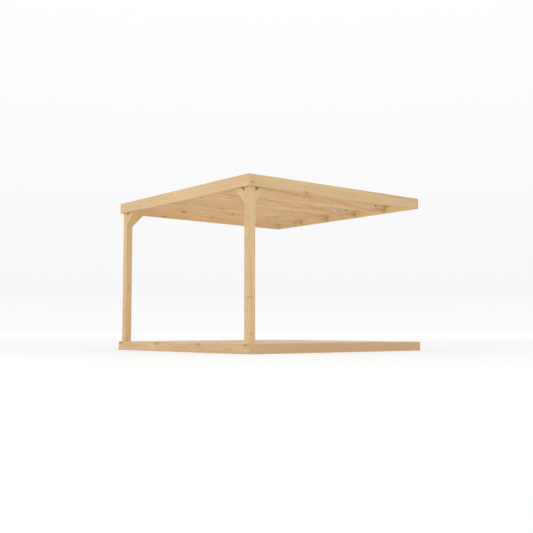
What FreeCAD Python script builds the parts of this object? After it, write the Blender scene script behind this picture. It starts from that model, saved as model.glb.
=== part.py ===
import FreeCAD, Part
import os
import Sketcher

# Attached patio cover in planed softwood: a flat roof frame that is bolted to a wall on one
# side and stands on two posts on the other, with knee braces, over a low timber floor.
# Millimetres. +Z is up, +X points at the wall, and Y runs along the wall from the near side
# to the far side. The origin is the middle of the footprint, at ground level.

SIZES = [
    # name, size, what it is
    ("cover_width", "3350", "front face to wall face, along X"),
    ("cover_length", "3400", "near side to far side, along Y"),
    ("cover_height", "2360", "ground to the top of the roof frame"),
    ("rim_thickness", "38", "boards round the roof frame"),
    ("rim_depth", "160", "height of those boards"),
    ("roof_joist_thickness", "38", "joists between the front rim and the wall rim"),
    ("roof_joist_depth", "120", "height of those joists, level with the rim's lower edge"),
    ("roof_joist_count", "4", "joists, without the side rims"),
    ("roof_deck_thickness", "18", "matchboards on the joists"),
    ("roof_board_count", "27", "matchboards across the roof"),
    ("roof_groove_depth", "4", "v joint between two matchboards, seen from below"),
    ("batten_width", "38", "cleats that carry the ends of the matchboards"),
    ("batten_depth", "20", "height of those cleats"),
    ("membrane_thickness", "2", "sheet on the matchboards"),
    ("membrane_upstand", "16", "its edge, turned up inside the rim"),
    ("post_side", "105", "square posts, inside the corners of the rim"),
    ("brace_side", "105", "square section of the knee braces"),
    ("brace_drop", "215", "rim's lower edge to the foot of a brace"),
    ("floor_height", "135", "ground to the top of the floor"),
    ("floor_fascia_thickness", "22", "boards round the floor"),
    ("floor_deck_thickness", "28", "floorboards"),
    ("floor_board_count", "27", "floorboards across the floor"),
    ("floor_groove_depth", "2.5", "v joint between two floorboards"),
    ("floor_joist_thickness", "45", "joists under the floorboards"),
    ("floor_joist_count", "7", "floor joists, with the outer two"),
    ("arris", "3", "planed-off edge of posts and braces"),
    ("board_arris", "2", "planed-off edge of the boards and joists"),
    ("wall_bolt_radius", "5.5", "holes through the wall rim"),
    ("wall_bolt_inset", "300", "end of the wall rim to the first holes"),
    ("wall_bolt_gap", "80", "upper holes to lower holes"),
    ("wall_bolt_edge", "40", "rim's lower edge to the lower holes"),
]

doc = FreeCAD.newDocument("patio_cover")
sheet = doc.addObject("Spreadsheet::Sheet", "sizes")
for row, (name, size, meaning) in enumerate(SIZES, start=1):
    sheet.set(f"A{row}", size)
    sheet.setAlias(f"A{row}", name)
    sheet.set(f"B{row}", meaning)
doc.recompute()

# Places that several pieces share, as expressions on the sheet.
FRONT = "(-sizes.cover_width / 2)"
WALL = "(sizes.cover_width / 2)"
NEAR = "(-sizes.cover_length / 2)"
FAR = "(sizes.cover_length / 2)"
INNER_WIDTH = "(sizes.cover_width - 2 * sizes.rim_thickness)"
INNER_LENGTH = "(sizes.cover_length - 2 * sizes.rim_thickness)"
FLOOR_WIDTH = "(sizes.cover_width - 2 * sizes.floor_fascia_thickness)"
FLOOR_LENGTH = "(sizes.cover_length - 2 * sizes.floor_fascia_thickness)"
FLOOR_JOIST_DEPTH = "(sizes.floor_height - sizes.floor_deck_thickness)"
RIM_BOTTOM = "(sizes.cover_height - sizes.rim_depth)"
DECK_BOTTOM = f"({RIM_BOTTOM} + sizes.roof_joist_depth)"
DECK_TOP = f"({DECK_BOTTOM} + sizes.roof_deck_thickness)"
POST_INSET = "sizes.rim_thickness"
POST_INNER = "(sizes.rim_thickness + sizes.post_side)"
BRACE_TOP = f"({DECK_BOTTOM} - sizes.batten_depth)"
BRACE_FOOT = f"({RIM_BOTTOM} - sizes.brace_drop)"
BRACE_RUN = f"({BRACE_TOP} - {BRACE_FOOT})"
BRACE_CUT = "(sizes.brace_side * sqrt(2))"

# Which way a piece runs: the plane its section is drawn on, and whether the pad is turned
# round to point along the positive axis.
ALONG_X = ("YZ_Plane", False)
ALONG_Y = ("XZ_Plane", True)
UPRIGHT = ("XY_Plane", False)


def new_body(label):
    body = doc.addObject("PartDesign::Body", label)
    body.Label = label
    return body


def place(body, x, y, z):
    """Puts a body's own origin at three expressions."""
    for axis, value in zip("xyz", (x, y, z)):
        body.setExpression(f".Placement.Base.{axis}", value)
    return body


def half_turn(body):
    """Turns a body round about the vertical, for the far end's pieces."""
    body.Placement.Rotation = FreeCAD.Rotation(FreeCAD.Vector(0, 0, 1), 180)
    return body


def sketch_on(body, name, plane):
    sketch = body.newObject("Sketcher::SketchObject", name)
    support = [o for o in body.Origin.OriginFeatures if o.Role == plane][0]
    sketch.AttachmentSupport = [(support, "")]
    sketch.MapMode = "FlatFace"
    return sketch


def measure(sketch, name, kind, start, end, value):
    """A named distance between two points of a sketch, bound to an expression."""
    index = sketch.addConstraint(Sketcher.Constraint(kind, *start, *end, 10.0))
    sketch.renameConstraint(index, name)
    sketch.setExpression(f"Constraints.{name}", value)


def outline(sketch, points):
    """A closed outline through the points, with its first point on the sketch's origin."""
    corners = [FreeCAD.Vector(x, y, 0) for x, y in points]
    for start, end in zip(corners, corners[1:] + corners[:1]):
        sketch.addGeometry(Part.LineSegment(start, end), False)
    for line in range(len(corners)):
        follower = (line + 1) % len(corners)
        sketch.addConstraint(Sketcher.Constraint("Coincident", line, 2, follower, 1))
    sketch.addConstraint(Sketcher.Constraint("Coincident", 0, 1, -1, 1))


def rectangle(body, name, plane, width, depth):
    """A rectangle from the body's own origin, width across and depth up."""
    sketch = sketch_on(body, name, plane)
    outline(sketch, [(0, 0), (10, 0), (10, 10), (0, 10)])
    for line, kind in enumerate(("Horizontal", "Vertical", "Horizontal", "Vertical")):
        sketch.addConstraint(Sketcher.Constraint(kind, line))
    measure(sketch, "width", "DistanceX", (0, 1), (0, 2), width)
    measure(sketch, "depth", "DistanceY", (1, 1), (1, 2), depth)
    return sketch


def pad(body, sketch, length, turned):
    feature = body.newObject("PartDesign::Pad", "Pad")
    feature.Profile = sketch
    feature.Reversed = turned
    feature.setExpression("Length", length)
    doc.recompute()
    return feature


def ease_edges(body, base, direction, size):
    """Planes off the long edges of a timber, those that run along direction."""
    names = []
    for number, edge in enumerate(base.Shape.Edges, start=1):
        if edge.tangentAt(edge.FirstParameter).cross(direction).Length < 1e-6:
            names.append(f"Edge{number}")
    chamfer = body.newObject("PartDesign::Chamfer", "Arris")
    chamfer.Base = (base, names)
    chamfer.setExpression("Size", size)
    body.Tip = chamfer
    doc.recompute()
    return chamfer


def timber(label, run, width, depth, length, at, arris="sizes.board_arris"):
    """A straight planed timber: a rectangular section padded to its length."""
    plane, turned = run
    body = new_body(label)
    section = rectangle(body, "Section", plane, width, depth)
    base = pad(body, section, length, turned)
    long_axis = {"YZ_Plane": (1, 0, 0), "XZ_Plane": (0, 1, 0), "XY_Plane": (0, 0, 1)}[plane]
    ease_edges(body, base, FreeCAD.Vector(*long_axis), arris)
    return place(body, *at)


def cut_through(body, sketch, turned):
    """Cuts a sketch right through a body, and makes sure that it did cut."""
    before = body.Shape.Volume
    pocket = body.newObject("PartDesign::Pocket", "Pocket")
    pocket.Profile = sketch
    pocket.Type = "ThroughAll"
    pocket.Reversed = turned
    body.Tip = pocket
    doc.recompute()
    if not pocket.Shape.Volume < before:
        raise RuntimeError(f"{body.Label}: a cut removed nothing")
    return pocket


def grooved_deck(label, width, length, thickness, count, groove, on_top, at):
    """Boards laid side by side along Y, as one slab with a v joint between two boards."""
    body = new_body(label)
    slab = pad(body, rectangle(body, "Slab", "XY_Plane", width, length), thickness, False)
    profile = sketch_on(body, "Joint", "XZ_Plane")
    depth = -1 if on_top else 1
    points = [(8, 0), (10, 0), (9, depth)]
    corners = [FreeCAD.Vector(x, y, 0) for x, y in points]
    for start, end in zip(corners, corners[1:] + corners[:1]):
        profile.addGeometry(Part.LineSegment(start, end), False)
    for line in range(3):
        profile.addConstraint(Sketcher.Constraint("Coincident", line, 2, (line + 1) % 3, 1))
    profile.addConstraint(Sketcher.Constraint("Horizontal", 0))
    measure(profile, "half", "DistanceX", (0, 1), (1, 2), groove)
    measure(profile, "mouth", "DistanceX", (0, 1), (0, 2), f"2 * {groove}")
    measure(profile, "joint", "DistanceX", (-1, 1), (1, 2), f"{width} / {count}")
    if on_top:
        measure(profile, "sink", "DistanceY", (1, 2), (1, 1), groove)
        measure(profile, "face", "DistanceY", (-1, 1), (0, 1), thickness)
    else:
        measure(profile, "sink", "DistanceY", (1, 1), (1, 2), groove)
        profile.addConstraint(Sketcher.Constraint("PointOnObject", 0, 1, -1))
    joint = cut_through(body, profile, False)
    rows = body.newObject("PartDesign::LinearPattern", "Joints")
    rows.Originals = [joint]
    rows.Direction = (profile, ["H_Axis"])
    rows.setExpression("Length", f"{width} * ({count} - 2) / {count}")
    rows.setExpression("Occurrences", f"{count} - 1")
    body.Tip = rows
    doc.recompute()
    return place(body, *at)


def tray(label, width, length, thickness, upstand, at):
    """A sheet with its edges turned up."""
    body = new_body(label)
    outside = rectangle(body, "Sheet", "XY_Plane", width, length)
    block = pad(body, outside, f"{thickness} + {upstand}", False)
    shell = body.newObject("PartDesign::Thickness", "Shell")
    top = max(range(len(block.Shape.Faces)), key=lambda n: block.Shape.Faces[n].CenterOfMass.z)
    shell.Base = (block, [f"Face{top + 1}"])
    shell.setExpression("Value", thickness)
    shell.Reversed = True
    body.Tip = shell
    doc.recompute()
    return place(body, *at)


def wall_rim():
    """The rim along the wall, with four holes for the bolts that hold the cover to it."""
    body = timber(
        "wall_rim",
        ALONG_Y,
        "sizes.rim_thickness",
        "sizes.rim_depth",
        "sizes.cover_length",
        (f"{WALL} - sizes.rim_thickness", NEAR, RIM_BOTTOM),
    )
    holes = sketch_on(body, "Holes", "YZ_Plane")
    ends = ("sizes.wall_bolt_inset", "sizes.cover_length - sizes.wall_bolt_inset")
    levels = ("sizes.wall_bolt_edge", "sizes.wall_bolt_edge + sizes.wall_bolt_gap")
    places = [(end, level) for end in ends for level in levels]
    for number, (end, level) in enumerate(places):
        middle = FreeCAD.Vector(100 * (number + 1), 50, 0)
        holes.addGeometry(Part.Circle(middle, FreeCAD.Vector(0, 0, 1), 5), False)
        measure(holes, f"end{number}", "DistanceX", (-1, 1), (number, 3), end)
        measure(holes, f"level{number}", "DistanceY", (-1, 1), (number, 3), level)
        radius = holes.addConstraint(Sketcher.Constraint("Radius", number, 5.0))
        holes.renameConstraint(radius, f"radius{number}")
        holes.setExpression(f"Constraints.radius{number}", "sizes.wall_bolt_radius")
    cut_through(body, holes, True)
    return body


def roof_frame():
    pieces = [
        timber(
            "front_rim",
            ALONG_Y,
            "sizes.rim_thickness",
            "sizes.rim_depth",
            "sizes.cover_length",
            (FRONT, NEAR, RIM_BOTTOM),
        ),
        wall_rim(),
    ]
    for label, y in (("near_rim", NEAR), ("far_rim", f"{FAR} - sizes.rim_thickness")):
        pieces.append(
            timber(
                label,
                ALONG_X,
                "sizes.rim_thickness",
                "sizes.rim_depth",
                INNER_WIDTH,
                (f"{FRONT} + sizes.rim_thickness", y, RIM_BOTTOM),
            )
        )
    count = int(sheet.roof_joist_count)
    for number in range(1, count + 1):
        step = f"(sizes.cover_length - sizes.roof_joist_thickness) / {count + 1} * {number}"
        pieces.append(
            timber(
                f"roof_joist_{number}",
                ALONG_X,
                "sizes.roof_joist_thickness",
                "sizes.roof_joist_depth",
                INNER_WIDTH,
                (f"{FRONT} + sizes.rim_thickness", f"{NEAR} + {step}", RIM_BOTTOM),
            )
        )
    return pieces


def roof_covering():
    sides = (
        ("near_batten", f"{NEAR} + sizes.rim_thickness"),
        ("far_batten", f"{FAR} - sizes.rim_thickness - sizes.batten_width"),
    )
    pieces = [
        timber(
            label,
            ALONG_X,
            "sizes.batten_width",
            "sizes.batten_depth",
            f"{INNER_WIDTH} - sizes.post_side",
            (f"{FRONT} + {POST_INNER}", y, BRACE_TOP),
        )
        for label, y in sides
    ]
    corner = (f"{FRONT} + sizes.rim_thickness", f"{NEAR} + sizes.rim_thickness")
    pieces.append(
        grooved_deck(
            "roof_deck",
            INNER_WIDTH,
            INNER_LENGTH,
            "sizes.roof_deck_thickness",
            "sizes.roof_board_count",
            "sizes.roof_groove_depth",
            False,
            (*corner, DECK_BOTTOM),
        )
    )
    pieces.append(
        tray(
            "roof_membrane",
            INNER_WIDTH,
            INNER_LENGTH,
            "sizes.membrane_thickness",
            "sizes.membrane_upstand",
            (*corner, DECK_TOP),
        )
    )
    return pieces


def posts():
    ends = (("near_post", f"{NEAR} + {POST_INSET}"), ("far_post", f"{FAR} - {POST_INNER}"))
    return [
        timber(
            label,
            UPRIGHT,
            "sizes.post_side",
            "sizes.post_side",
            f"{DECK_BOTTOM} - sizes.floor_height",
            (f"{FRONT} + {POST_INSET}", y, "sizes.floor_height"),
            "sizes.arris",
        )
        for label, y in ends
    ]


def brace(label, run, at, turned_round=False):
    """A knee brace at 45 degrees: plumb cut on the post, level cut under the roof deck."""
    plane, turned = run
    body = new_body(label)
    if turned_round:
        half_turn(body)
    sketch = sketch_on(body, "Side", plane)
    outline(sketch, [(0, 0), (40, 40), (30, 40), (0, 10)])
    sketch.addConstraint(Sketcher.Constraint("Horizontal", 1))
    sketch.addConstraint(Sketcher.Constraint("Vertical", 3))
    measure(sketch, "run", "DistanceX", (0, 1), (0, 2), BRACE_RUN)
    measure(sketch, "rise", "DistanceY", (0, 1), (0, 2), BRACE_RUN)
    measure(sketch, "foot", "DistanceY", (3, 2), (3, 1), BRACE_CUT)
    measure(sketch, "head", "DistanceX", (1, 2), (1, 1), BRACE_CUT)
    base = pad(body, sketch, "sizes.brace_side", turned)
    slope = {"YZ_Plane": (0, 1, 1), "XZ_Plane": (1, 0, 1)}[plane]
    ease_edges(body, base, FreeCAD.Vector(*slope).normalize(), "sizes.arris")
    return place(body, *at)


def braces():
    front = f"{FRONT} + {POST_INSET}"
    inner = f"{FRONT} + {POST_INNER}"
    near = f"{NEAR} + {POST_INSET}"
    far = f"{FAR} - {POST_INSET}"
    return [
        brace("near_front_brace", ALONG_X, (front, f"{NEAR} + {POST_INNER}", BRACE_FOOT)),
        brace(
            "far_front_brace",
            ALONG_X,
            (f"{front} + sizes.brace_side", f"{FAR} - {POST_INNER}", BRACE_FOOT),
            turned_round=True,
        ),
        brace("near_side_brace", ALONG_Y, (inner, near, BRACE_FOOT)),
        brace("far_side_brace", ALONG_Y, (inner, f"{far} - sizes.brace_side", BRACE_FOOT)),
    ]


def floor_frame():
    thickness = "sizes.floor_fascia_thickness"
    height = "sizes.floor_height"
    across = (("floor_front_board", FRONT), ("floor_wall_board", f"{WALL} - {thickness}"))
    pieces = [
        timber(label, ALONG_Y, thickness, height, "sizes.cover_length", (x, NEAR, "0"))
        for label, x in across
    ]
    inner_front = f"{FRONT} + {thickness}"
    along = (("floor_near_board", NEAR), ("floor_far_board", f"{FAR} - {thickness}"))
    for label, y in along:
        pieces.append(
            timber(label, ALONG_X, thickness, height, FLOOR_WIDTH, (inner_front, y, "0"))
        )
    count = int(sheet.floor_joist_count)
    for number in range(count):
        step = f"({FLOOR_LENGTH} - sizes.floor_joist_thickness) / {count - 1} * {number}"
        pieces.append(
            timber(
                f"floor_joist_{number + 1}",
                ALONG_X,
                "sizes.floor_joist_thickness",
                FLOOR_JOIST_DEPTH,
                FLOOR_WIDTH,
                (inner_front, f"{NEAR} + {thickness} + {step}", "0"),
            )
        )
    pieces.append(
        grooved_deck(
            "floor_deck",
            FLOOR_WIDTH,
            FLOOR_LENGTH,
            "sizes.floor_deck_thickness",
            "sizes.floor_board_count",
            "sizes.floor_groove_depth",
            True,
            (inner_front, f"{NEAR} + {thickness}", FLOOR_JOIST_DEPTH),
        )
    )
    return pieces


parts = floor_frame() + posts() + braces() + roof_frame() + roof_covering()
doc.recompute()

for item in doc.Objects:
    if "Invalid" in item.State or "Error" in item.State:
        raise RuntimeError(f"{item.Name} of {item.Label} failed: {item.State}")
for part in parts:
    if part.Shape.isNull() or not part.Shape.isValid() or part.Shape.Volume <= 0:
        raise RuntimeError(f"{part.Label} has no valid shape")

os.makedirs("parts", exist_ok=True)
for part in parts:
    part.Shape.exportStep(f"parts/{part.Label}.step")
    box = part.Shape.BoundBox
    print(
        f"{part.Label}: {len(part.Shape.Solids)} solid, {part.Shape.Volume / 1e9:.5f} m3,",
        f"x {box.XMin:.1f} to {box.XMax:.1f}, y {box.YMin:.1f} to {box.YMax:.1f},",
        f"z {box.ZMin:.1f} to {box.ZMax:.1f}",
    )
print(len(parts), "parts")
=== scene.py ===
import math

import bpy
import numpy as np
from mathutils import Matrix, Vector


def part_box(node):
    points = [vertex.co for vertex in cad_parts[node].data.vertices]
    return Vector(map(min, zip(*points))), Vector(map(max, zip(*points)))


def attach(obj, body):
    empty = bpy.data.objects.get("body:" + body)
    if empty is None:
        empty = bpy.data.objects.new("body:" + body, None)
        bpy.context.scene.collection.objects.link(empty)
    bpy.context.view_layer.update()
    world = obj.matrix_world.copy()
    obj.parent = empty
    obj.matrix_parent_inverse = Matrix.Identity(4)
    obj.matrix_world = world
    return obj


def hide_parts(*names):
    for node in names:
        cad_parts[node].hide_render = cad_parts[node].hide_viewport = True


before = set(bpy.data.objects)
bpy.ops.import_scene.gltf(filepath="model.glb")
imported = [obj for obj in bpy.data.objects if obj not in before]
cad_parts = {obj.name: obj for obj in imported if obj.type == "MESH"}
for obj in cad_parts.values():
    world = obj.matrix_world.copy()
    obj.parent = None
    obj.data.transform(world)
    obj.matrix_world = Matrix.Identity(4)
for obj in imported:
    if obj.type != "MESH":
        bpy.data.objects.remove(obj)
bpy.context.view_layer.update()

# Metres throughout, in the frame's own axes: +X to the wall, +Y along it, +Z up.

X_AXIS = Vector((1, 0, 0))
Y_AXIS = Vector((0, 1, 0))
Z_AXIS = Vector((0, 0, 1))


# Node trees

class Recipe:
    """Adds nodes to one tree. Each call makes a node, joins what it is given and returns its output."""

    def __init__(self, tree):
        self.tree = tree

    def node(self, kind, inputs=None, **settings):
        made = self.tree.nodes.new(kind)
        for name, value in settings.items():
            setattr(made, name, value)
        for name, value in (inputs or {}).items():
            self.feed(made.inputs[name], value)
        return made

    def group(self, tree, **inputs):
        return self.node("ShaderNodeGroup", inputs, node_tree=tree)

    def feed(self, socket, value):
        if isinstance(value, bpy.types.NodeSocket):
            self.tree.links.new(value, socket)
        else:
            socket.default_value = value

    def math(self, operation, *values, clamp=False):
        inputs = dict(enumerate(values))
        return self.node("ShaderNodeMath", inputs, operation=operation, use_clamp=clamp).outputs[0]

    def vector(self, operation, *values, scale=None):
        inputs = dict(enumerate(values))
        if scale is not None:
            inputs["Scale"] = scale
        made = self.node("ShaderNodeVectorMath", inputs, operation=operation)
        return made.outputs["Value" if operation in ("LENGTH", "DOT_PRODUCT") else "Vector"]

    def split(self, vector):
        return self.node("ShaderNodeSeparateXYZ", {0: vector}).outputs

    def join(self, x=0.0, y=0.0, z=0.0):
        return self.node("ShaderNodeCombineXYZ", {0: x, 1: y, 2: z}).outputs[0]

    def noise(self, vector, scale, detail=2.0, roughness=0.5):
        inputs = {"Vector": vector, "Scale": scale, "Detail": detail, "Roughness": roughness}
        return self.node("ShaderNodeTexNoise", inputs)

    def ramp(self, value, low, high, to_low=0.0, to_high=1.0):
        """A smooth step from to_low to to_high as value goes from low to high."""
        inputs = {"Value": value, "From Min": low, "From Max": high,
                  "To Min": to_low, "To Max": to_high}
        return self.node("ShaderNodeMapRange", inputs, interpolation_type="SMOOTHSTEP").outputs[0]

    def mix(self, factor, first, second):
        made = self.node("ShaderNodeMix", {0: factor}, data_type="RGBA")
        self.feed(made.inputs[6], first)
        self.feed(made.inputs[7], second)
        return made.outputs[2]

    def coordinates(self, kind):
        """The object's own place, its normal or the world's direction, by the output's name."""
        return self.node("ShaderNodeTexCoord").outputs[kind]

    def surface(self, inputs):
        """Ends a material with one plain surface shader."""
        made = self.node("ShaderNodeBsdfPrincipled", inputs)
        self.node("ShaderNodeOutputMaterial", {"Surface": made.outputs[0]})


def new_group(name, inputs, outputs):
    """An empty node group with its sockets, given as name to default or to kind."""
    tree = bpy.data.node_groups.new(name, "ShaderNodeTree")
    for label, start in inputs.items():
        if isinstance(start, tuple):
            kind = "NodeSocketColor" if len(start) == 4 else "NodeSocketVector"
        else:
            kind = "NodeSocketFloat"
        tree.interface.new_socket(label, in_out="INPUT", socket_type=kind).default_value = start
    for label, kind in outputs.items():
        tree.interface.new_socket(label, in_out="OUTPUT", socket_type=kind)
    recipe = Recipe(tree)
    start = tree.nodes.new("NodeGroupInput").outputs
    end = tree.nodes.new("NodeGroupOutput")
    return tree, recipe, start, end.inputs


# A knot's reach and its push on the rings, both in knot radii.
HALO_REACH = 2.4
RING_PUSH = 1.6


def knot_group():
    """A knot through a timber. With d the distance from its middle in knot radii, stretched along
    the grain, the core is full inside d = 0.6 and the halo is exp(-(d / HALO_REACH) ** 2). The
    halo also bends the rings, so that they run round the knot."""
    tree, make, given, result = new_group(
        "knot",
        {"Place": (0, 0, 0), "Middle": (0, 0, 0), "Radius": 0.01, "Stretch": 2.0, "Depth": 0.6,
         "Core": 0.0, "Halo": 0.0, "Bend": 0.0},
        {"Core": "NodeSocketFloat", "Halo": "NodeSocketFloat", "Bend": "NodeSocketFloat"},
    )
    gap = make.split(make.vector("SUBTRACT", given["Place"], given["Middle"]))
    wobble = make.noise(given["Place"], 55.0, 2.0).outputs["Fac"]
    along = make.math("DIVIDE", gap[0], given["Stretch"])
    reach = make.vector("LENGTH", make.join(along, gap[1]))
    spread = make.math("MULTIPLY_ADD", wobble, 0.9, 0.55)
    distance = make.math("MULTIPLY", make.math("DIVIDE", reach, given["Radius"]), spread)
    core = make.math("MULTIPLY", make.ramp(distance, 0.60, 1.15, 1.0, 0.0), given["Depth"])
    fall = make.math("POWER", make.math("DIVIDE", distance, HALO_REACH), 2.0)
    halo = make.math("EXPONENT", make.math("MULTIPLY", fall, -1.0))
    bend = make.math("MULTIPLY", halo, make.math("MULTIPLY", given["Radius"], RING_PUSH))
    make.feed(result["Core"], make.math("MAXIMUM", core, given["Core"]))
    make.feed(result["Halo"], make.math("MAXIMUM", halo, given["Halo"]))
    make.feed(result["Bend"], make.math("ADD", bend, given["Bend"]))
    return tree


def streak_group():
    """A long stain along the grain: exp(-(a ** 2 + b ** 2)), with a and b the distances along and
    across a line that leans from the timber's length, in units of its own length and width."""
    tree, make, given, result = new_group(
        "streak",
        {"Place": (0, 0, 0), "Middle": (0, 0, 0), "Length": 0.5, "Width": 0.01, "Lean": 0.0,
         "Strength": 1.0, "Stain": 0.0},
        {"Stain": "NodeSocketFloat"},
    )
    gap = make.split(make.vector("SUBTRACT", given["Place"], given["Middle"]))
    wave = make.noise(given["Place"], 3.0, 1.0).outputs["Fac"]
    sway = make.math("MULTIPLY", given["Width"], 2.2)
    shift = make.math("MULTIPLY", make.math("SUBTRACT", wave, 0.5), sway)
    across = make.math("SUBTRACT", gap[1], make.math("MULTIPLY", gap[0], given["Lean"]))
    a = make.math("DIVIDE", gap[0], given["Length"])
    b = make.math("DIVIDE", make.math("ADD", across, shift), given["Width"])
    square = make.math("ADD", make.math("MULTIPLY", a, a), make.math("MULTIPLY", b, b))
    fade = make.math("EXPONENT", make.math("MULTIPLY", square, -1.0))
    mark = make.math("MULTIPLY", fade, given["Strength"])
    make.feed(result["Stain"], make.math("MAXIMUM", mark, given["Stain"]))
    return tree


# Lengths in metres: one growth ring, the pith's slow sway and quick ripple, and the grain's relief.
RING_WIDTH = 0.0034
PITH_SWAY = 0.048
PITH_RIPPLE = 0.0032
GRAIN_DEPTH = 0.0006

# Painted light: the pale colour laid on faces in shaded pockets under the roof.
PAINTED_POCKET_LIGHT = (0.93, 0.79, 0.56, 1)
KNOT_DARK = (0.42, 0.195, 0.056, 1)
KNOT_LIGHT = (0.53, 0.285, 0.105, 1)
DEAD_KNOT = (0.085, 0.036, 0.013, 1)
# Painted shade: the colour laid into inner corners where timbers meet.
PAINTED_CORNER_SHADE = (0.20, 0.12, 0.065, 1)


def softwood_group():
    """Planed pine as a solid. The length runs along the first axis. Growth rings are cylinders
    round a pith line that lies outside the timber and wanders, so that a face cuts them in
    arches. Late wood is the darker end of each ring, and wet and dry years make broader bands."""
    tree, make, given, result = new_group(
        "softwood",
        {"Place": (0, 0, 0), "Pith": (0, 0, 0), "Lean": (0, 0, 0), "Seed": 0.0,
         "Contrast": 1.0, "PaintedEndLight": 0.0, "Fresh": 0.0, "Stain": 0.0,
         "Core": 0.0, "Halo": 0.0, "Bend": 0.0, "Dead": 0.0, "End": 0.0,
         "Early": (0.79, 0.57, 0.320, 1), "Late": (0.59, 0.36, 0.158, 1),
         "Resin": (0.62, 0.40, 0.165, 1)},
        {"Colour": "NodeSocketColor", "Height": "NodeSocketFloat", "Rough": "NodeSocketFloat"},
    )
    place = given["Place"]
    along = make.split(place)[0]
    offset = make.join(make.math("MULTIPLY", given["Seed"], 7.3), given["Seed"], given["Seed"])

    def stretched(*scales):
        """The place at its own scale on each axis, moved by the seed."""
        return make.vector("ADD", make.vector("MULTIPLY", place, scales), offset)

    def wander(spot, roughness, reach):
        """A smooth drift to all sides, within half of reach."""
        drift = make.noise(spot, 1.0, 2.0, roughness).outputs["Color"]
        return make.vector("SCALE", make.vector("SUBTRACT", drift, (0.5, 0.5, 0.5)), scale=reach)

    # The pith line: a straight lean plus two waves of wander.
    centre = make.vector("ADD", given["Pith"], make.vector("SCALE", given["Lean"], scale=along))
    centre = make.vector("ADD", centre, wander(stretched(0.9, 0.3, 0.3), 0.6, PITH_SWAY))
    centre = make.vector("ADD", centre, wander(stretched(5.0, 9.0, 9.0), 0.5, PITH_RIPPLE))
    gap = make.vector("SUBTRACT", place, centre)
    radius = make.vector("LENGTH", make.vector("MULTIPLY", gap, (0, 1, 1)))
    radius = make.math("ADD", radius, given["Bend"])

    # One ring: pale early wood that darkens to a sharp late edge.
    year = make.math("DIVIDE", radius, RING_WIDTH)
    part = make.math("FRACT", year)
    late = make.math("MULTIPLY", make.ramp(part, 0.35, 0.86), make.ramp(part, 0.93, 1.0, 1.0, 0.0))

    # Good and bad years, as broad bands that follow the rings.
    bands = make.join(make.math("MULTIPLY", radius, 62.0), given["Seed"],
                      make.math("MULTIPLY", along, 0.35))
    weather = make.ramp(make.noise(bands, 1.0, 3.0, 0.62).outputs["Fac"], 0.36, 0.70)

    # Fibres and short flecks along the grain.
    fibre = make.noise(stretched(14.0, 900.0, 900.0), 1.0, 3.0, 0.6).outputs["Fac"]
    fleck = make.noise(stretched(3.0, 160.0, 160.0), 1.0, 2.0).outputs["Fac"]
    fleck = make.ramp(fleck, 0.45, 0.75)

    # How dark the wood is: late wood, wet years, flecks, the halo of a knot and end grain.
    dark = make.math("MULTIPLY", late, 0.42)
    dark = make.math("MULTIPLY_ADD", weather, 0.34, dark)
    dark = make.math("MULTIPLY_ADD", fleck, 0.07, dark)
    dark = make.math("MULTIPLY", dark, given["Contrast"])
    dark = make.math("MULTIPLY_ADD", given["Halo"], 0.42, dark)
    dark = make.math("ADD", dark, make.math("MULTIPLY", given["End"], 0.10), clamp=True)
    colour = make.mix(dark, given["Early"], given["Late"])

    # Tone from end to end of one timber, with the first metre lightened as painted light.
    tone = make.noise(stretched(0.7, 2.2, 2.2), 1.0, 2.0).outputs["Fac"]
    brightness = make.math("MULTIPLY_ADD", tone, 0.16, 0.92)
    brightness = make.math("MULTIPLY", brightness, make.math("MULTIPLY_ADD", fibre, 0.08, 0.96))
    end_light_ramp = make.ramp(along, 0.45, 1.25, 1.0, 0.0)
    end_lightened = make.math("MULTIPLY_ADD", end_light_ramp, given["PaintedEndLight"], 1.0)
    brightness = make.math("MULTIPLY", brightness, end_lightened)
    colour = make.vector("SCALE", colour, scale=brightness)

    # Over the plain wood: painted light on faces in shaded pockets, resin, knots and dead knots.
    colour = make.mix(given["Fresh"], colour, PAINTED_POCKET_LIGHT)
    soaked = make.math("MULTIPLY_ADD", late, 0.35, 0.65)
    stain = make.math("MULTIPLY", given["Stain"], soaked, clamp=True)
    colour = make.mix(stain, colour, given["Resin"])
    knot_rings = make.math("FRACT", make.math("MULTIPLY", radius, 700.0))
    knot_colour = make.mix(knot_rings, KNOT_DARK, KNOT_LIGHT)
    colour = make.mix(given["Core"], colour, knot_colour)
    colour = make.mix(given["Dead"], colour, DEAD_KNOT)
    make.feed(result["Colour"], colour)

    height = make.math("MULTIPLY_ADD", late, 0.55, make.math("MULTIPLY", fibre, 0.6))
    sunk = make.math("MULTIPLY", given["Core"], 0.4)
    make.feed(result["Height"], make.math("SUBTRACT", height, sunk))
    rough = make.math("MULTIPLY_ADD", late, -0.10, 0.66)
    make.feed(result["Rough"], make.math("MULTIPLY_ADD", given["End"], 0.16, rough))
    return tree


KNOT = knot_group()
STREAK = streak_group()
SOFTWOOD = softwood_group()


def new_material(name):
    material = bpy.data.materials.new(name)
    material.use_nodes = True
    material.node_tree.nodes.clear()
    return material, Recipe(material.node_tree)


def timber_axes(run, rise):
    """The turn from a timber's own axes (length, height of its face, thickness) to the frame's."""
    return Matrix((run, rise, run.cross(rise))).transposed().to_euler()


def end_grain(make, normal, run):
    """1 on the sawn ends of a timber that runs along run, and 0 on its long faces."""
    facing = make.math("ABSOLUTE", make.vector("DOT_PRODUCT", normal, tuple(run)))
    return make.ramp(facing, 0.75, 0.95)


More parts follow.
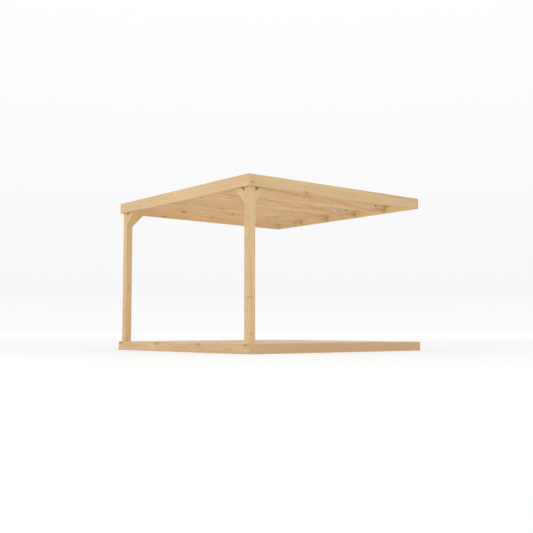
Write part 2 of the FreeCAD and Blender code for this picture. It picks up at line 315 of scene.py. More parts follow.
def finish_wood(make, grain, soil=None, shine=0.32):
    """The surface shader for a softwood group. The third argument is how dark the inner corners are
    painted: painted shade, from an ambient occlusion node, in the last few centimetres before two
    timbers meet. Without it they are not darkened. shine is the specular level."""
    relief = {"Strength": 0.35, "Distance": GRAIN_DEPTH, "Height": grain.outputs["Height"]}
    bump = make.node("ShaderNodeBump", relief)
    colour = grain.outputs["Colour"]
    if soil is not None:
        # Painted shade: inner corners darken towards the corner colour as the ambient occlusion falls.
        open_air = make.node("ShaderNodeAmbientOcclusion", {"Distance": 0.045}, samples=6).outputs["AO"]
        corner_shade_mask = make.ramp(open_air, 0.40, 0.97, soil, 0.0)
        colour = make.mix(corner_shade_mask, colour, PAINTED_CORNER_SHADE)
    make.surface({"Base Color": colour, "Roughness": grain.outputs["Rough"],
                  "Normal": bump.outputs[0], "Specular IOR Level": shine})


def softwood(name, run, rise, start, pith, lean, seed, knots=(), streaks=(), side_knots=(),
             dead_knots=(), soil=None, sheltered=None, **grain):
    """Pine for one timber. start is the corner that its own length and height are measured from.
    knots are (along, up, radius, stretch along the grain, depth of colour). side_knots go through the
    other pair of faces, so their second number is measured across the thickness. dead_knots are black
    and loose, and don't bend the rings. streaks are (along, up, half length, half width, lean,
    strength), and each knot draws a faint one of its own. The faces to lighten are given as (direction,
    from, to): faces that look that way, between those lengths, are painted as pale as new-sawn wood, as
    painted light in the shade under the roof. grain is what else the softwood group is told."""
    material, make = new_material(name)
    normal = make.coordinates("Normal")
    local = make.node(
        "ShaderNodeMapping",
        {"Vector": make.coordinates("Object"), "Location": start, "Rotation": timber_axes(run, rise)},
        vector_type="TEXTURE",
    ).outputs[0]
    parts = make.split(local)
    turned = make.join(parts[0], parts[2], parts[1])

    def join_knots(place, chosen, marks):
        for along, up, radius, stretch, depth in chosen:
            knot = make.group(KNOT, Place=place, Middle=(along, up, 0), Radius=radius,
                              Stretch=stretch, Depth=depth, **marks)
            marks = {label: knot.outputs[label] for label in marks}
        return marks

    marks = join_knots(local, knots, {"Core": 0.0, "Halo": 0.0, "Bend": 0.0})
    marks = join_knots(turned, side_knots, marks)
    dead = join_knots(local, dead_knots, {"Core": 0.0})["Core"]
    drawn = tuple((along, up, 12 * radius * stretch, 0.75 * radius, 0.0, 0.6 * depth)
                  for along, up, radius, stretch, depth in knots if radius > 0.0085 and stretch > 1.0)
    stain = 0.0
    for along, up, length, width, slope, strength in tuple(streaks) + drawn:
        streak = make.group(STREAK, Place=local, Middle=(along, up, 0), Length=length, Width=width,
                            Lean=slope, Strength=strength, Stain=stain)
        stain = streak.outputs["Stain"]
    painted_light = 0.0
    # Painted light: faces that look the given way, between the given lengths, get the pale pocket
    # colour where the roof shades them.
    if sheltered:
        turn, low, high = sheltered
        fade = 0.06
        turned_in = make.ramp(make.vector("DOT_PRODUCT", normal, tuple(turn)), 0.5, 0.65)
        started = make.ramp(parts[0], low, low + fade)
        ended = make.ramp(parts[0], high - fade, high, 1.0, 0.0)
        painted_light = make.math("MULTIPLY", turned_in, make.math("MULTIPLY", started, ended))
    wood = make.group(SOFTWOOD, Place=local, Pith=pith, Lean=lean, Seed=seed, Stain=stain,
                      End=end_grain(make, normal, run), Fresh=painted_light, Dead=dead, **marks, **grain)
    # The painted shade in the corners is held back where painted light is laid.
    if soil is not None:
        soil = make.math("MULTIPLY_ADD", painted_light, -soil, soil)
    finish_wood(make, wood, soil)
    return material


def dress(node, name, *shape, **looks):
    """Gives a CAD node a pine of its own. shape and looks are what softwood is told."""
    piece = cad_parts[node]
    piece.data.materials.clear()
    piece.data.materials.append(softwood(name, *shape, **looks))


# Timbers of the roof frame, the posts and the floor

SIDES = ("near", "far")
FLOOR_JOISTS = range(1, 8)


def corner(node, at_high_y=False):
    """The low corner of a node's box, or the one beside it at its high y."""
    low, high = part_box(node)
    return Vector((low.x, high.y if at_high_y else low.y, low.z))


def brace_lean(side, face):
    """The level direction in which a knee brace leans away from its post."""
    if face == "side":
        return X_AXIS
    return Y_AXIS if side == "near" else -Y_AXIS


PALE_PINE = {"Early": (0.76, 0.595, 0.395, 1), "Late": (0.58, 0.385, 0.205, 1)}
# A paler pine for the battens; on the far side brace it is painted light against the roof's shade on
# its near face.
LIGHTER_PINE = {"Early": (0.88, 0.68, 0.41, 1), "Late": (0.67, 0.445, 0.21, 1)}


def dress_rims():
    """The boards round the roof frame."""
    near_knots = ((0.020, 0.052, 0.015, 1.5, 0.85), (0.972, 0.010, 0.013, 2.0, 0.8))
    near_streaks = ((2.85, 0.134, 0.62, 0.011, -0.010, 1.0), (0.17, 0.030, 0.17, 0.008, -0.154, 0.6),
                    (0.35, 0.125, 0.22, 0.004, -0.05, 0.35))
    far_knots = ((0.781, 0.020, 0.012, 2.7, 0.75), (1.751, 0.092, 0.012, 2.4, 0.8),
                 (2.76, 0.047, 0.010, 2.0, 0.6))
    far_streaks = ((0.85, 0.064, 0.35, 0.010, -0.02, 0.7), (1.25, 0.022, 0.40, 0.010, 0.0, 1.0),
                   (2.70, 0.044, 0.14, 0.009, 0.0, 1.0), (0.45, 0.085, 0.15, 0.02, 0.0, 0.9),
                   (1.15, 0.046, 0.30, 0.012, -0.03, 0.9), (1.85, 0.027, 0.35, 0.012, 0.0, 0.8))
    # The near and front rims: painted shade in their inner corners, and painted light on their inner
    # faces over the first 0.35 m, beside the near post's head.
    painted_corners = {"soil": 0.7, "sheltered": (Y_AXIS, -1.0, 0.35)}
    soft = {"Early": (0.81, 0.588, 0.343, 1), "Late": (0.61, 0.375, 0.170, 1), "soil": 0.7,
            "sheltered": (X_AXIS, -1.0, 0.35)}
    # The far rim's paler tones are painted light against the shade on its inner face behind the last
    # joist.
    bright = {"Early": (0.84, 0.645, 0.40, 1), "Late": (0.655, 0.44, 0.227, 1),
              "Resin": (0.70, 0.475, 0.19, 1)}
    # The wall rim: painted shade in its inner corners, where the joists meet it.
    amber = {"Early": (0.82, 0.635, 0.39, 1), "Late": (0.63, 0.415, 0.205, 1), "soil": 0.3}
    wall_knots = ((0.95, 0.11, 0.012, 1.6, 0.7), (2.2, 0.11, 0.010, 1.6, 0.7))
    wall_streaks = ((0.0, 0.08, 0.03, 0.30, 0.0, 0.9), (1.40, 0.05, 0.55, 0.30, 0.0, 0.6))
    front_streaks = ((1.45, 0.08, 0.75, 0.25, 0.0, 0.17), (0.95, 0.045, 0.50, 0.006, 0.0, 0.30),
                     (1.90, 0.100, 0.60, 0.007, 0.0, 0.30))
    near_grain = ((0, 0.10, -0.055), (0, -0.02, 0.012), 3.0)
    far_grain = ((0, 0.05, 0.07), (0, 0.01, 0.01), 5.0)
    front_grain = ((0, 0.02, 0.09), (0, 0.05, 0.0), 8.0)
    wall_grain = ((0, 0.12, -0.06), (0, -0.01, 0.012), 11.0)
    rims = {
        "near_rim": (X_AXIS, near_grain, near_knots, near_streaks, painted_corners),
        "far_rim": (X_AXIS, far_grain, far_knots, far_streaks, bright),
        "front_rim": (Y_AXIS, front_grain, (), front_streaks, soft),
        "wall_rim": (Y_AXIS, wall_grain, wall_knots, wall_streaks, amber),
    }
    for node, (run, (pith, lean, seed), knots, streaks, tones) in rims.items():
        dress(node, f"{node.replace('_', ' ')} pine", run, Z_AXIS, corner(node), pith, lean, seed,
              knots, streaks, **tones)


def dress_roof_joists():
    """Joists 1 and 2 are from one resinous log, 3 and 4 from knottier ones. Each is darkened along its
    lower edge and where it meets the wall rim, as painted shade."""
    # The streaks at 3.15 to 3.2 m along are painted shade where each joist meets the wall rim.
    resin_1 = ((1.48, 0.106, 0.36, 0.020, -0.02, 1.0), (1.86, 0.054, 0.26, 0.016, -0.05, 0.75),
               (2.36, 0.074, 0.44, 0.022, -0.094, 1.0), (2.88, 0.022, 0.26, 0.012, -0.03, 0.9),
               (3.16, 0.054, 0.16, 0.024, 0.0, 1.0))
    resin_2 = ((1.56, 0.100, 0.28, 0.020, -0.03, 1.0), (1.92, 0.054, 0.22, 0.020, -0.06, 0.75),
               (2.40, 0.076, 0.44, 0.022, -0.094, 1.0), (2.86, 0.020, 0.26, 0.012, -0.03, 0.9),
               (3.15, 0.054, 0.16, 0.024, 0.0, 1.0), (0.735, 0.110, 0.16, 0.012, -0.03, 0.8))
    amber_3 = ((1.42, 0.050, 0.14, 0.016, 0.0, 0.7), (1.20, 0.024, 0.20, 0.009, 0.0, 0.6),
               (0.55, 0.086, 0.25, 0.010, 0.0, 0.6), (3.20, 0.060, 0.12, 0.060, 0.0, 0.6))
    amber_4 = ((1.66, 0.066, 0.20, 0.012, 0.0, 1.0), (2.35, 0.020, 0.45, 0.013, 0.0, 0.75),
               (0.68, 0.012, 0.22, 0.016, 0.0, 0.8), (2.95, 0.052, 0.25, 0.020, 0.0, 0.9),
               (3.20, 0.062, 0.12, 0.030, 0.0, 1.0), (2.66, 0.042, 0.20, 0.008, 0.0, 0.7))
    # Painted shade: a dark band along each joist's lower edge.
    edge = (1.6, -0.003, 4.0, 0.006, 0.0, 0.90)
    # Painted shade: a dark mark at the joint with the wall rim, drawn as a faint knot.
    end = (3.23, 0.055, 0.018, 0.9, 0.40)
    dead_1 = (3.064, 0.108, 0.0165, 1.0, 0.97)
    dead_2 = (3.064, 0.113, 0.0165, 1.0, 0.97)
    knots_3 = ((0.983, 0.012, 0.013, 2.4, 0.8), end)
    knots_4 = ((0.723, 0.024, 0.015, 2.7, 0.9), (1.705, 0.067, 0.015, 1.8, 0.9),
               (2.687, 0.108, 0.011, 2.2, 0.7), (3.116, 0.032, 0.011, 1.6, 0.8), end)
    # The first metre of joists 1, 2 and 4 is lightened as painted light, where their front ends lie in
    # shade.
    brighter = {"Early": (0.87, 0.69, 0.465, 1), "Late": (0.66, 0.445, 0.235, 1), "PaintedEndLight": 0.12}
    end_lightened = {"Early": (0.75, 0.60, 0.408, 1), "Late": (0.57, 0.39, 0.215, 1), "PaintedEndLight": 0.15}
    warm = {"Early": (0.81, 0.645, 0.435, 1), "Late": (0.615, 0.415, 0.22, 1), "PaintedEndLight": 0.04}
    joists = (
        (resin_1, (end,), (dead_1,), brighter),
        (resin_2, (end,), (dead_2,), end_lightened),
        (amber_3, knots_3, (), PALE_PINE),
        (amber_4, knots_4, (), warm),
    )
    for number, (streaks, knots, dead, tones) in enumerate(joists, start=1):
        node = f"roof_joist_{number}"
        dress(node, f"roof joist pine {number}", X_AXIS, Z_AXIS, corner(node), (0, 0.03, 0.06),
              (0, 0.015, 0.01), 20.0 + number, knots, streaks + (edge,), dead_knots=dead,
              Contrast=1.25, Resin=(0.64, 0.42, 0.150, 1), **tones)
    for side in SIDES:
        node = f"{side}_batten"
        dress(node, f"{side} batten pine", X_AXIS, Z_AXIS, corner(node), (0, 0.05, 0.03),
              (0, 0.01, 0.01), 31.0, **LIGHTER_PINE)


def dress_posts():
    """The posts, with a few resinous lines, the far one also darker on its side faces as painted shade
    and darker towards its foot, and their knee braces, which are darkened along their sloped undersides
    as painted shade. Both are painted paler where they look inward under the roof: painted light in its
    shade."""
    knots = {"near": ((0.13, 0.036, 0.008, 1.3, 0.85),), "far": ((0.85, 0.05, 0.009, 1.4, 0.5),)}
    side_knots = {"near": ((0.605, 0.010, 0.008, 1.1, 0.95),), "far": ()}
    resin_and_shade = {"near": ((2.045, 0.050, 0.026, 0.0035, 0.0, 0.9), (2.055, 0.028, 0.016, 0.003, 0.0, 0.7),
                      (0.75, 0.034, 0.65, 0.009, -0.042, 1.0), (1.45, 0.007, 0.40, 0.007, -0.01, 0.9)),
             # The far post's broad stains are painted shade that darkens its side faces; the ones at 0
             # and 0.12 along make it darker towards its foot.
             "far": ((1.0, 0.062, 1.1, 0.036, 0.0, 0.35), (0.12, 0.05, 0.14, 0.06, 0.0, 0.35),
                     (0.40, 0.008, 0.35, 0.008, 0.0, 0.7), (1.60, 0.014, 0.35, 0.008, 0.0, 0.7),
                     (0.0, 0.035, 0.22, 0.030, 0.0, 0.8))}
    # Painted shade: a dark band along each brace's sloped underside.
    lower = ((0.22, -0.004, 0.6, 0.010, 0.0, 0.65),)
    light = {"Early": (0.80, 0.582, 0.334, 1), "Late": (0.595, 0.370, 0.165, 1)}
    # Painted light: the far side brace is given the paler pine against the roof's shade.
    tones = {"far_side_brace": LIGHTER_PINE}
    seeds = {"near_front_brace": 55.0, "near_side_brace": 54.0,
             "far_front_brace": 58.0, "far_side_brace": 57.0}
    for number, side in enumerate(SIDES):
        post = f"{side}_post"
        inward = (X_AXIS + brace_lean(side, "front")).normalized()
        dress(post, f"{side} post pine", Z_AXIS, X_AXIS, corner(post), (0, 0.16, 0.03),
              (0, 0.012, 0.006), 40.0 + number, knots[side], resin_and_shade[side], side_knots[side],
              sheltered=(inward, 1.97, 9.0), Contrast=0.9, **light)
        for face in ("front", "side"):
            node = f"{side}_{face}_brace"
            out = brace_lean(side, face)
            run = (out + Z_AXIS).normalized()
            rise = (Z_AXIS - out).normalized()
            foot = corner(node, at_high_y=out.y < 0)
            dress(node, f"{side} {face} brace pine", run, rise, foot, (0, 0.14, 0.04),
                  (0, 0.01, 0.02), seeds[node], (), lower, sheltered=(rise, -9.0, 9.0),
                  Contrast=0.9, **tones.get(node, {}))


def dress_floor_frame():
    """The boards round the floor, darker along their lower edges, and the joists between them."""
    front_knots = tuple((0.06 + 1.09 * turn, 0.114, 0.014, 3.2, 0.9) for turn in range(4))
    front_knots += ((0.67, 0.130, 0.007, 2.0, 0.6), (1.76, 0.130, 0.007, 2.0, 0.6))
    pale = {"Early": (0.815, 0.588, 0.343, 1), "Late": (0.595, 0.375, 0.183, 1), "Contrast": 1.2,
            "Resin": (0.60, 0.385, 0.20, 1)}
    ruddy = {"Early": (0.68, 0.45, 0.26, 1), "Late": (0.54, 0.33, 0.17, 1), "Contrast": 0.55}
    # Darker along the lower edges, where the boards meet the floor.
    low_edge_darkening = ((1.7, -0.004, 9.0, 0.026, 0.0, 0.9), (0.45, 0.035, 0.35, 0.020, 0.0, 0.5))
    foot = ((1.7, 0.0, 9.0, 0.011, 0.0, 0.55),)
    boards = {
        "floor_front_board": (Y_AXIS, (0, 0.05, 0.08), 60.0, front_knots, low_edge_darkening, pale),
        "floor_wall_board": (Y_AXIS, (0, 0.08, -0.07), 61.0, (), low_edge_darkening, pale),
        "floor_near_board": (X_AXIS, (0, 0.02, -0.09), 62.0, (), foot, ruddy),
        "floor_far_board": (X_AXIS, (0, 0.02, 0.09), 63.0, (), foot, ruddy),
    }
    for node, (run, pith, seed, knots, streaks, tones) in boards.items():
        dress(node, f"{node.replace('_', ' ')} pine", run, Z_AXIS, corner(node), pith,
              (0, 0.008, 0.004), seed, knots, streaks, **tones)
    for number in FLOOR_JOISTS:
        node = f"floor_joist_{number}"
        dress(node, f"floor joist pine {number}", X_AXIS, Z_AXIS, corner(node), (0, 0.06, 0.05),
              (0, 0.01, 0.01), 70.0 + number, **pale)


# Boards of the floor and the roof

# The boards in a row, the same in the floor and the roof: how many, how many cross-sections along
# each, and the seed that tells them apart.
BOARD_COUNT = 27
BOARD_SECTIONS = 13
BOARD_SEED = 11


def place_object(name, data):
    """A new object in the scene."""
    made = bpy.data.objects.new(name, data)
    bpy.context.scene.collection.objects.link(made)
    return made


def place_mesh(name, points, faces, material):
    """A new mesh in the scene, from arrays of points and faces."""
    mesh = bpy.data.meshes.new(name)
    mesh.from_pydata(points, [], faces)
    mesh.validate()
    mesh.materials.append(material)
    return place_object(name, mesh)


def mesh_piece(name, points, faces, material, slot, *replaced):
    """A finished piece that rides on the part and may stand for CAD nodes."""
    piece = place_mesh(name, points, faces, material)
    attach(piece, "root")
    if replaced:
        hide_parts(*replaced)
    return piece


def quads(*corners):
    """Four-sided faces from four arrays of point numbers."""
    return np.stack(corners, -1).reshape(-1, 4).tolist()


def board_section(width, thickness, eased, both_eased):
    """A board's outline: points (across, up) from the middle of its lower face, anticlockwise. The
    left half mirrors the right. The long edges are eased by a quarter round, the lower ones by a
    third of it unless both_eased."""
    half = width / 2
    low_eased = eased if both_eased else eased / 3
    turn = np.linspace(0, math.pi / 2, 5)
    top_x = half - eased + eased * np.sin(turn)
    top_z = thickness - eased + eased * np.cos(turn)
    low_x = half - low_eased + low_eased * np.cos(turn)
    low_z = low_eased - low_eased * np.sin(turn)
    top = np.stack([top_x, top_z], 1)
    low = np.stack([low_x, low_z], 1)
    right = np.concatenate([low[::-1], top[::-1]])
    left = right[::-1] * (-1, 1)
    return np.concatenate([right, left])


def board_places(node):
    """The pitch of the boards that fill a node's box across X, and the middle of each."""
    low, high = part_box(node)
    pitch = (high.x - low.x) / BOARD_COUNT
    return pitch, low.x + pitch * (np.arange(BOARD_COUNT) + 0.5)


def board_row(name, node, material, slot, gap, eased, both_eased):
    """Boards side by side in a node's box: one section carried along Y and repeated across X, with
    each board's own length, sideways and height coordinates as an attribute, and its seed."""
    low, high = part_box(node)
    pitch, middles = board_places(node)
    section = board_section(pitch - gap, high.z - low.z, eased, both_eased)
    stations = np.linspace(low.y, high.y, BOARD_SECTIONS)
    shape = (BOARD_COUNT, len(stations), len(section))
    x = middles[:, None, None] + section[None, None, :, 0] + np.zeros(shape)
    y = stations[None, :, None] + np.zeros(shape)
    z = low.z + section[None, None, :, 1] + np.zeros(shape)
    points = np.stack([x, y, z], -1).reshape(-1, 3)
    index = np.arange(x.size).reshape(shape)
    following = np.roll(index, -1, axis=2)
    faces = quads(index[:, :-1], index[:, 1:], following[:, 1:], following[:, :-1])
    faces += index[:, 0, :].tolist() + index[:, -1, ::-1].tolist()
    piece = mesh_piece(name, points, faces, material, slot, node)
    own = np.stack([y - low.y, section[None, None, :, 0] + np.zeros(shape), z - low.z], -1)
    luck = np.random.default_rng(BOARD_SEED).random(BOARD_COUNT)
    place = piece.data.attributes.new("plank_place", "FLOAT_VECTOR", "POINT")
    place.data.foreach_set("vector", own.reshape(-1))
    seed = piece.data.attributes.new("plank_seed", "FLOAT", "POINT")
    seed.data.foreach_set("value", (luck[:, None, None] + np.zeros(shape)).reshape(-1))


def plank_wood(name, early, late, contrast, knot_spacing):
    """Pine for a row of boards. Each board's seed moves its pith and its tone, and each stretch of
    knot_spacing along it holds one knot at a place and of a size drawn from that seed."""
    material, make = new_material(name)
    place = make.node("ShaderNodeAttribute", attribute_name="plank_place").outputs["Vector"]
    luck = make.node("ShaderNodeAttribute", attribute_name="plank_seed").outputs["Fac"]
    along = make.split(place)[0]
    shifted = make.math("MULTIPLY_ADD", luck, 3.0, make.math("DIVIDE", along, knot_spacing))
    stretch = make.math("FLOOR", shifted)
    drawn = make.node("ShaderNodeTexWhiteNoise", {"Vector": make.join(stretch, luck, 0.5)},
                      noise_dimensions="3D").outputs["Color"]
    roll = make.split(drawn)
    knot_at = make.math("MULTIPLY_ADD", roll[0], 0.6, make.math("ADD", stretch, 0.2))
    knot_at = make.math("SUBTRACT", knot_at, make.math("MULTIPLY", luck, 3.0))
    knot_at = make.math("MULTIPLY", knot_at, knot_spacing)
    knot_side = make.math("MULTIPLY_ADD", roll[1], 0.09, -0.045)
    size = make.math("MULTIPLY_ADD", make.math("POWER", roll[2], 2.0), 0.011, 0.002)
    knot = make.group(KNOT, Place=place, Middle=make.join(knot_at, knot_side), Radius=size)
    side = make.math("MULTIPLY_ADD", luck, 0.14, -0.07)
    pith = make.join(0.0, side, make.math("MULTIPLY_ADD", luck, -0.05, -0.05))
    marks = {label: knot.outputs[label] for label in ("Core", "Halo", "Bend")}
    end = end_grain(make, make.coordinates("Normal"), Y_AXIS)
    wood = make.group(SOFTWOOD, Place=place, Pith=pith, Lean=(0, 0.004, 0.010), Contrast=contrast,
                      Seed=make.math("MULTIPLY", luck, 91.0), Early=early, Late=late, End=end,
                      **marks)
    finish_wood(make, wood, shine=0.10)
    return material


def lay_boards():
    """The floorboards, and the roof's matchboards, which are eased below as well."""
    floor_early = (0.97, 0.79, 0.575, 1)
    floor_late = (0.82, 0.61, 0.395, 1)
    floor_wood = plank_wood("floorboard pine", floor_early, floor_late, contrast=0.8,
                            knot_spacing=0.55)
    roof_wood = plank_wood("matchboard pine", PALE_PINE["Early"], PALE_PINE["Late"], contrast=0.9,
                           knot_spacing=0.5)
    board_row("floorboards", "floor_deck", floor_wood, "floorboards", gap=0.0012, eased=0.0025,
              both_eased=False)
    board_row("matchboards", "roof_deck", roof_wood, "roof_boards", gap=0.0010, eased=0.0040,
              both_eased=True)


# Roof sheet

# The sheet in metres: its thickness, its hems, its glued laps, and how far the flat swells.
SHEET_THICK = 0.002
HEM_FILLET = 0.009
HEM_WIDTH = 0.03
LAP_WIDTH = 0.082
LAP_EDGE = 0.002
LAP_RISE = 0.0014
SWELL = 0.0005
SWELL_LINES = 44


def sheet_rubber():
    """Black roofing rubber with faint rolls, dust in the low places and a matt skin."""
    material, make = new_material("roofing rubber")
    place = make.coordinates("Object")
    dust = make.ramp(make.noise(place, 1.6, 4.0, 0.6).outputs["Fac"], 0.42, 0.72)
    speck = make.noise(place, 240.0, 2.0).outputs["Fac"]
    dusty = make.math("MULTIPLY", dust, 0.5)
    colour = make.mix(dusty, (0.020, 0.020, 0.022, 1), (0.060, 0.057, 0.052, 1))
    bump = make.node("ShaderNodeBump", {"Strength": 0.3, "Distance": 0.0008, "Height": speck})
    rough = make.math("MULTIPLY_ADD", dust, 0.2, 0.58)
    make.surface({"Base Color": colour, "Roughness": rough, "Normal": bump.outputs[0]})
    return material


def lay_sheet():
    """The sheet over the roof boards: a closed skin whose height is the higher of two hems, one
    counted from the x edges and one from the y edges. A hem rises up its outside, goes over its
    top and comes down its inside into a quarter round. The flat between swells by crossed sines
    of half a millimetre, and stands LAP_RISE higher in the two laps, where its widths are glued."""
    low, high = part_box("roof_membrane")
    bed = low.z + SHEET_THICK
    turn = np.linspace(0, math.pi / 2, 5)
    round_in = SHEET_THICK + HEM_FILLET * (1 - np.cos(turn))
    round_up = bed + HEM_FILLET * (1 - np.sin(turn))
    round_up[0] = high.z - SHEET_THICK
    hem_in = np.concatenate([[0, 0, SHEET_THICK], round_in, [HEM_WIDTH]])
    hem_up = np.concatenate([[low.z, high.z, high.z], round_up, [bed]])

    def across(start, end, stations):
        """Places from edge to edge and the hem's height at each."""
        places = np.concatenate([start + hem_in, stations, end - hem_in[::-1]])
        heights = np.concatenate([hem_up, np.full(len(stations), hem_up[-1]), hem_up[::-1]])
        return places, heights

    third = (high.y - low.y) / 3
    lap_starts = low.y + third * np.array([1, 2])
    lap_profile = np.array([0.0, LAP_EDGE, LAP_WIDTH - LAP_EDGE, LAP_WIDTH])
    lap_edges = (lap_starts[:, None] + lap_profile).ravel()
    rows = np.sort(np.concatenate([np.linspace(low.y, high.y, SWELL_LINES)[1:-1], lap_edges]))
    x, rise_x = across(low.x, high.x, np.linspace(low.x, high.x, SWELL_LINES)[1:-1])
    y, rise_y = across(low.y, high.y, rows)
    grid_x, grid_y = np.meshgrid(x, y, indexing="ij")
    height = np.maximum(rise_x[:, None], rise_y[None, :])
    height[[0, -1], :] = low.z
    height[:, [0, -1]] = low.z
    lap = np.zeros_like(grid_y)
    for start in lap_starts:
        up = np.clip((grid_y - start) / LAP_EDGE, 0, 1)
        down = np.clip((start + LAP_WIDTH - grid_y) / LAP_EDGE, 0, 1)
        lap = np.maximum(lap, up * down)
    swell = np.sin(grid_x * 5.3 + 0.7 * np.sin(grid_y * 2.1)) * np.sin(grid_y * 3.7 + 1.0)
    flat = height <= bed + 1e-9
    flat[[0, -1], :] = False
    flat[:, [0, -1]] = False
    height = height + np.where(flat, lap * LAP_RISE + SWELL * swell + SWELL, 0.0)
    points = np.stack([grid_x, grid_y, height], -1).reshape(-1, 3)
    index = np.arange(grid_x.size).reshape(grid_x.shape)
    faces = quads(index[:-1, :-1], index[1:, :-1], index[1:, 1:], index[:-1, 1:])
    edge = np.concatenate([index[0, :-1], index[:-1, -1], index[-1, :0:-1], index[:0:-1, 0]])
    faces.append(edge.tolist())
    mesh_piece("roof_sheet", points, faces, sheet_rubber(), "membrane", "roof_membrane")


# Screws

HEAD_SIDES = 12
STAR_POINTS = 6

# In metres: the radii of the heads, how far each stands to the side of its pair's middle, and how
# far a floor screw strays from its line and sinks into its board.
FLOOR_SCREW = 0.0042
BRACE_SCREW = 0.0058
FLOOR_PAIR = 0.036
BRACE_PAIR = 0.026
SCREW_STRAY = 0.0015
SCREW_SUNK = 0.0001

# Where a brace's two pairs are, from its middle, in half lengths of the brace.
BRACE_ENDS = (-0.8, 0.72)


def screw_steel():
    """Zinc-plated steel: cool grey with faint tarnish."""
    material, make = new_material("zinc plated steel")
    place = make.coordinates("Object")
    tarnish = make.ramp(make.noise(place, 90.0, 2.0).outputs["Fac"], 0.40, 0.75)
    colour = make.mix(tarnish, (0.62, 0.61, 0.58, 1), (0.40, 0.38, 0.33, 1))
    rough = make.math("MULTIPLY_ADD", tarnish, 0.25, 0.32)
    make.surface({"Base Color": colour, "Metallic": 1.0, "Roughness": rough})
    return material


def screw_heads(name, centres, outward, radius, material):
    """Countersunk heads, all one profile of radius and height turned about its axis. The two inner
    rings swell and shrink six times in a turn, which is the star recess. Each head's axis is
    outward, and its edge is at its centre's level."""
    reach = radius * np.array([0.45, 1.0, 0.86, 0.44, 0.38])
    rise = radius * np.array([-0.55, 0.0, 0.07, 0.08, -0.30])
    star = np.array([0.0, 0.0, 0.0, 0.16, 0.16])
    angle = np.linspace(0, 2 * math.pi, HEAD_SIDES, endpoint=False)
    ring = reach[:, None] * (1 + star[:, None] * np.cos(STAR_POINTS * angle)[None, :])
    centres = np.asarray(centres, float)
    outward = np.asarray(outward, float) + np.zeros_like(centres)
    aside = np.cross(outward, (0.3, 0.8, 0.52))
    aside /= np.linalg.norm(aside, axis=1, keepdims=True)
    upright = np.cross(outward, aside)

    def shifts(amount, axis):
        """For every head, each point's move along that head's own axis."""
        return amount[None, :, :, None] * axis[:, None, None, :]

    points = centres[:, None, None, :] + shifts(ring * np.cos(angle), aside)
    points = points + shifts(ring * np.sin(angle), upright)
    points = points + shifts(np.broadcast_to(rise[:, None], ring.shape), outward)
    index = np.arange(points.size // 3).reshape(points.shape[:3])
    following = np.roll(index, -1, axis=2)
    faces = quads(index[:, :-1], following[:, :-1], following[:, 1:], index[:, 1:])
    faces += index[:, 0, ::-1].tolist() + index[:, -1, :].tolist()
    mesh_piece(name, points.reshape(-1, 3), faces, material, None)


def drive_screws():
    """Two screws on each joist for each floorboard, a little off their lines as by hand, and two
    near each end of each knee brace, from below."""
    steel = screw_steel()
    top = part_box("floor_deck")[1].z
    middles = board_places("floor_deck")[1]
    across = (middles[:, None] + np.array([-FLOOR_PAIR, FLOOR_PAIR])).ravel()
    joists = [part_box(f"floor_joist_{number}") for number in FLOOR_JOISTS]
    along = np.array([(low.y + high.y) / 2 for low, high in joists])
    spots = np.stack(np.meshgrid(across, along, indexing="ij"), -1).reshape(-1, 2)
    stray = np.random.default_rng(5).normal(0, SCREW_STRAY, spots.shape)
    centres = np.column_stack([spots + stray, np.full(len(spots), top - SCREW_SUNK)])
    screw_heads("floor_screws", centres, (0, 0, 1), FLOOR_SCREW, steel)

    centres = []
    outward = []
    for side in SIDES:
        for face in ("front", "side"):
            low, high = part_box(f"{side}_{face}_brace")
            away = brace_lean(side, face)
            middle = (low + high) / 2
            slope = (away + Z_AXIS).normalized()
            width = Y_AXIS if face == "side" else X_AXIS
            reach = (high.z - low.z) / math.sqrt(2)
            for step in BRACE_ENDS:
                for shift in (-BRACE_PAIR, BRACE_PAIR):
                    centres.append(middle + slope * step * reach + width * shift)
                    outward.append((away - Z_AXIS).normalized())
    screw_heads("brace_screws", centres, outward, BRACE_SCREW, steel)


# Light, floor and camera

CAMERA_PLACE = Vector((-8.2009, -10.1228, 0.3053))
CAMERA_YAW = math.radians(50.979)
CAMERA_PITCH = math.radians(4.448)
CAMERA_LENS = 55.66
FLOOR_HALF = 90.0


def set_camera():
    """The camera stands near the ground, turned by yaw from +X towards +Y and tipped up by pitch."""
    data = bpy.data.cameras.new("camera")
    data.lens = CAMERA_LENS
    data.clip_end = 300.0
    camera = place_object("camera", data)
    flat = math.cos(CAMERA_PITCH)
    look = Vector((flat * math.cos(CAMERA_YAW), flat * math.sin(CAMERA_YAW), math.sin(CAMERA_PITCH)))
    camera.location = CAMERA_PLACE
    camera.rotation_euler = look.to_track_quat("-Z", "Y").to_euler()
    bpy.context.scene.camera = camera


def seen_directly(make):
    """1 for rays from the camera, and for those that gloss or glass sends on."""
    path = make.node("ShaderNodeLightPath").outputs
    seen = make.math("MAXIMUM", path["Is Camera Ray"], path["Is Glossy Ray"])
    return make.math("MAXIMUM", seen, path["Is Transmission Ray"])


def set_world():
    """White studio air. Seen directly it is a pale backdrop, a little greyer low down and bright
    again at the horizon, where the floor meets it."""
    world = bpy.data.worlds.new("studio")
    world.use_nodes = True
    world.node_tree.nodes.clear()
    make = Recipe(world.node_tree)
    rise = make.split(make.coordinates("Generated"))[2]
    wall = make.math("MULTIPLY_ADD", rise, 0.19, 0.926)
    foot = make.ramp(rise, 0.005, 0.055, 0.975, 0.93)
    low_grey = make.math("MINIMUM", make.math("MAXIMUM", wall, foot), 1.0)
    shade = make.join(low_grey, low_grey, low_grey)
    backdrop = make.node("ShaderNodeBackground", {"Color": shade, "Strength": 1.0})
    light = make.node("ShaderNodeBackground", {"Color": (1.0, 1.0, 1.0, 1), "Strength": 0.74})
    mixed = make.node("ShaderNodeMixShader",
                      {0: seen_directly(make), 1: light.outputs[0], 2: backdrop.outputs[0]})
    make.node("ShaderNodeOutputWorld", {"Surface": mixed.outputs[0]})
    bpy.context.scene.world = world


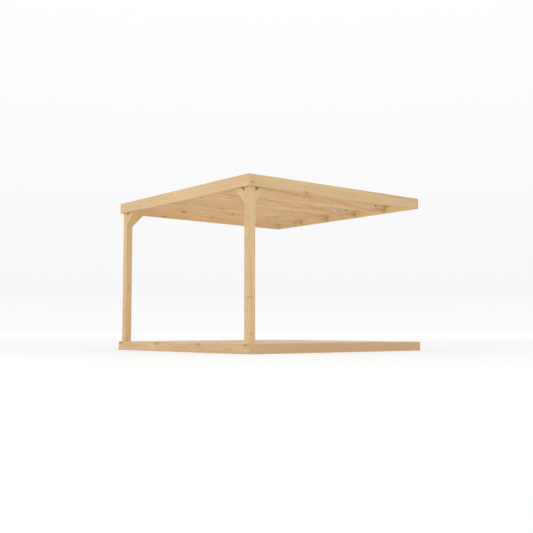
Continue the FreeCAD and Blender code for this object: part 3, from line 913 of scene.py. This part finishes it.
def set_lamp(name, place, target, width, height, power, spread):
    """A soft oval lamp that lights the object and isn't seen itself. spread is in degrees."""
    data = bpy.data.lights.new(name, "AREA")
    data.shape = "ELLIPSE"
    data.size = width
    data.size_y = height
    data.energy = power
    data.spread = math.radians(spread)
    lamp = place_object(name, data)
    lamp.location = place
    lamp.rotation_euler = (Vector(target) - Vector(place)).to_track_quat("-Z", "Y").to_euler()
    lamp.visible_camera = False


def set_floor():
    """A wide white floor that keeps the object's shadow. It has a small lift for rays that see it
    directly, so that it meets the backdrop without a line."""
    material, make = new_material("studio floor")
    paint = make.node("ShaderNodeBsdfDiffuse", {"Color": (0.86, 0.86, 0.86, 1)})
    reach = make.vector("LENGTH", make.coordinates("Object"))
    lift = make.math("MULTIPLY", seen_directly(make), make.ramp(reach, 9.0, 30.0, 0.30, 0.37))
    glow = make.node("ShaderNodeEmission", {"Color": (1, 1, 1, 1), "Strength": lift})
    both = make.node("ShaderNodeAddShader", {0: paint.outputs[0], 1: glow.outputs[0]})
    make.node("ShaderNodeOutputMaterial", {"Surface": both.outputs[0]})
    corners = FLOOR_HALF * np.array([(-1, -1, 0), (1, -1, 0), (1, 1, 0), (-1, 1, 0)])
    place_mesh("studio_floor", corners, [(0, 1, 2, 3)], material)


def set_stage():
    """Backdrop, floor, lamps and camera. The low fills stand for the light that a pale ground
    throws up under a roof."""
    bpy.context.scene.view_settings.view_transform = "Standard"
    set_world()
    set_floor()
    set_lamp("key", (-18.0, -8.0, 9.0), (0, 0, 1.0), 8.0, 8.0, 300.0, 180)
    set_lamp("low fill", (-7.0, -8.5, 0.3), (0, 0, 1.8), 4.0, 0.5, 38.0, 180)
    set_lamp("low front fill", (-9.5, 0.7, 0.3), (0, 0.7, 2.0), 8.0, 0.5, 108.0, 180)
    set_lamp("low near fill", (0.8, -9.5, 0.3), (0.8, 0, 2.0), 7.0, 0.5, 88.0, 180)
    set_lamp("front fill", (-1.5, 0.0, 0.3), (0.8, 0, 2.2), 0.5, 2.8, 6.9, 110)
    set_lamp("near fill", (0.0, -1.55, 0.3), (0.0, 0.6, 2.2), 2.8, 0.5, 5.3, 110)
    set_lamp("wall fill", (-0.3, -0.9, 0.3), (1.7, -0.7, 2.2), 0.5, 1.6, 3.8, 100)
    set_camera()


set_stage()
dress_rims()
dress_roof_joists()
dress_posts()
dress_floor_frame()
lay_boards()
lay_sheet()
drive_screws()
